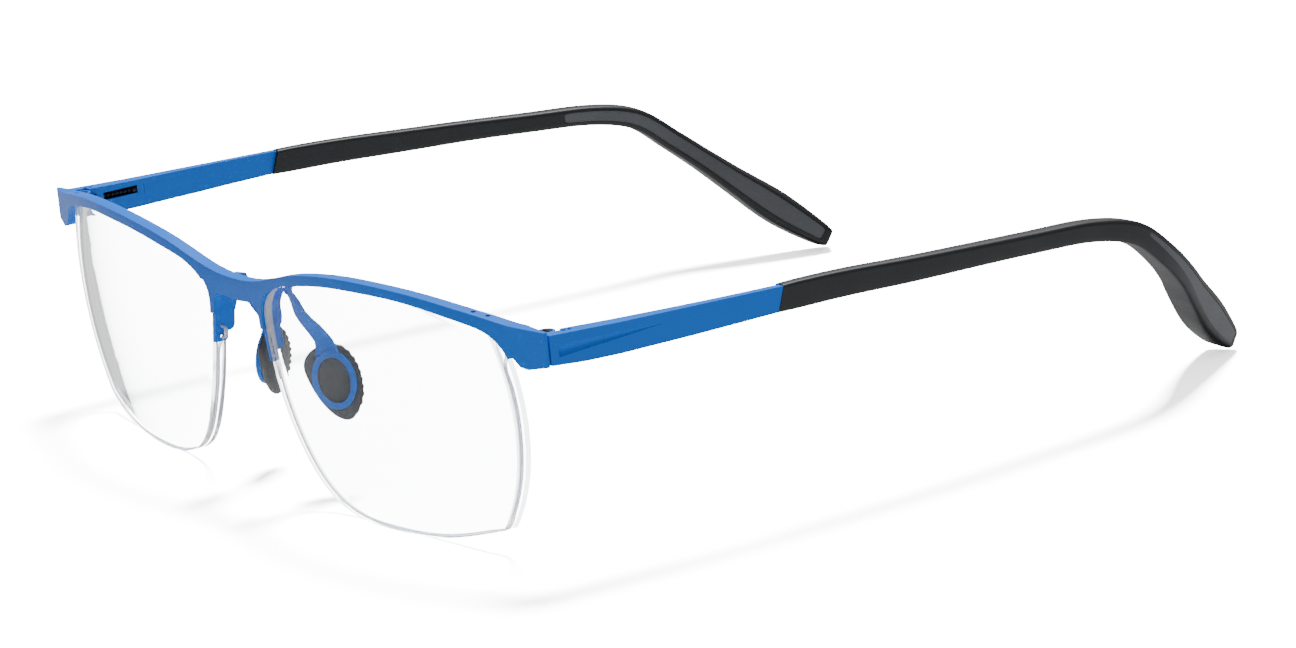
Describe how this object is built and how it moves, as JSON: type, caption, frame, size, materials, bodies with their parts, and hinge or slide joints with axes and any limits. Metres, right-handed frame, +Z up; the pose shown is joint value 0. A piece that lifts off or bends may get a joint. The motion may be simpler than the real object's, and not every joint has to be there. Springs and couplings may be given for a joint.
{
  "type": "half rim eyeglasses",
  "caption": "Half rim eyeglasses with a metal brow bar, clear lenses held by nylon cord, soft nose pads and sprung temples with bent rubber tips.",
  "frame": {"origin": "on the surface that the open glasses stand on, under the middle of their overall box", "axes": "+X towards the wearer's left, +Y backwards along the temples, +Z up"},
  "size_m": [0.1408, 0.1329, 0.0349],
  "materials": {
    "blue_paint": "satin blue paint over metal",
    "lens_clear": "clear, polished",
    "nylon": "clear nylon",
    "pad_silicone": "matte silicone",
    "steel": "bright",
    "black_rubber": "matte, smooth",
    "grey_rubber": "matte, soft"
  },
  "bodies": {
    "front": {"front_frame": "blue_paint", "lens_left": "lens_clear", "lens_right": "lens_clear", "nylon_cord_left": "nylon", "nylon_cord_right": "nylon", "rim_liner_left": "nylon", "rim_liner_right": "nylon", "pad_arm_left": "blue_paint", "pad_arm_right": "blue_paint", "nose_pad_left": "pad_silicone", "nose_pad_right": "pad_silicone", "hinge_front_left": "blue_paint", "hinge_front_right": "blue_paint", "hinge_screw_left": "steel", "hinge_screw_right": "steel"},
    "slider_left": {"hinge_slider_left": "steel", "hinge_spring_left": "steel"},
    "temple_left": {"temple_arm_left": "blue_paint", "temple_core_left": "steel", "temple_sleeve_left": "black_rubber", "tip_inlay_outer_left": "grey_rubber", "tip_inlay_inner_left": "grey_rubber"},
    "slider_right": {"hinge_slider_right": "steel", "hinge_spring_right": "steel"},
    "temple_right": {"temple_arm_right": "blue_paint", "temple_core_right": "steel", "temple_sleeve_right": "black_rubber", "tip_inlay_outer_right": "grey_rubber", "tip_inlay_inner_right": "grey_rubber"}
  },
  "joints": [
    {"name": "fold_left", "type": "hinge", "parent": "front", "child": "slider_left", "pos_m": [0.0666, -0.0553, 0.0293], "axis": [0, 0, 1], "range_deg": [0, 65]},
    {"name": "spring_left", "type": "slide", "parent": "slider_left", "child": "temple_left", "axis": [0, 1, 0], "range_m": [0, 0.0012], "stiffness_N_per_m": 2500, "springref_m": -0.0012, "deforming": ["hinge_spring_left"]},
    {"name": "fold_right", "type": "hinge", "parent": "front", "child": "slider_right", "pos_m": [-0.0666, -0.0553, 0.0293], "axis": [0, 0, -1], "range_deg": [0, 80]},
    {"name": "spring_right", "type": "slide", "parent": "slider_right", "child": "temple_right", "axis": [0, 1, 0], "range_m": [0, 0.0012], "stiffness_N_per_m": 2500, "springref_m": -0.0012, "deforming": ["hinge_spring_right"]}
  ]
}
